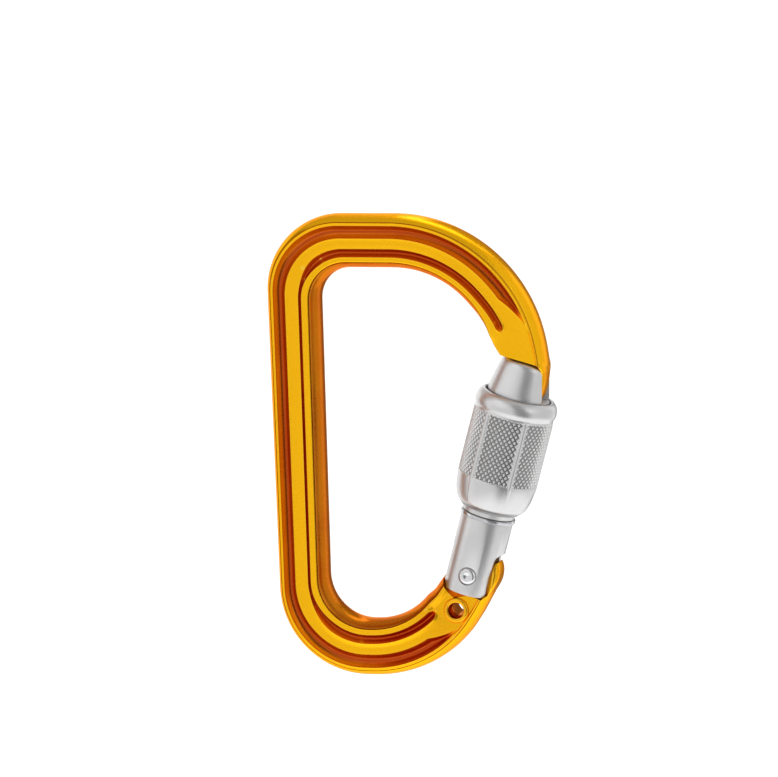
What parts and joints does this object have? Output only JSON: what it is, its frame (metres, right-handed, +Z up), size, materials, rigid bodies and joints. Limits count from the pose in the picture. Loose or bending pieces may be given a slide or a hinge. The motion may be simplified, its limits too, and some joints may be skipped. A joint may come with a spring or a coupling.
{
  "type": "locking carabiner",
  "caption": "Compact D-shaped locking carabiner: grooved gold frame, spring-closed gate hinged on a rivet, and a knurled screw-up sleeve that locks the gate shut.",
  "frame": {"origin": "the seat in the middle of the top bow, where the carabiner hangs on a bolt hanger, sling or harness loop, in the middle of its thickness", "axes": "+Z up along the spine, +X from the spine towards the gate, +Y through the thickness, away from the face seen from the front"},
  "size_m": [0.065, 0.0186, 0.1042],
  "materials": {
    "gold_anodised": "gold anodised, semi-gloss",
    "satin_aluminium": "clear anodised, satin",
    "sleeve_aluminium": "clear anodised, satin, knurled panels",
    "rivet_steel": "polished stainless",
    "spring_steel": "drawn stainless wire"
  },
  "bodies": {
    "frame": {"frame": "gold_anodised"},
    "gate": {"gate": "satin_aluminium", "gate_rivet": "rivet_steel", "gate_spring": "spring_steel"},
    "plunger": {"spring_plunger": "spring_steel"},
    "ring": {"stop_ring": "spring_steel"},
    "sleeve": {"locking_sleeve": "sleeve_aluminium"}
  },
  "joints": [
    {"name": "gate_open", "type": "hinge", "parent": "frame", "child": "gate", "pos_m": [0.0231, 0, -0.0685], "axis": [0, -1, 0], "range_deg": [0, 25], "stiffness_Nm_per_rad": 0.5, "springref_deg": -22.92},
    {"name": "plunger_slide", "type": "slide", "parent": "gate", "child": "plunger", "axis": [0.2756, 0, 0.9613], "range_m": [0, 0.00064], "deforming": ["gate_spring"]},
    {"name": "sleeve_turn", "type": "hinge", "parent": "gate", "child": "ring", "pos_m": [0.0231, 0, -0.0685], "axis": [0.2756, 0, 0.9613], "range_deg": [-180, 900]},
    {"name": "sleeve_travel", "type": "slide", "parent": "ring", "child": "sleeve", "axis": [0.2756, 0, 0.9613], "range_m": [-0.00101, 0.00501]}
  ],
  "couplings": [
    {"joint": "plunger_slide", "follows": "gate_open", "m_per_rad": 0.00145},
    {"joint": "sleeve_travel", "follows": "sleeve_turn", "m_per_rad": 0.00031831}
  ]
}
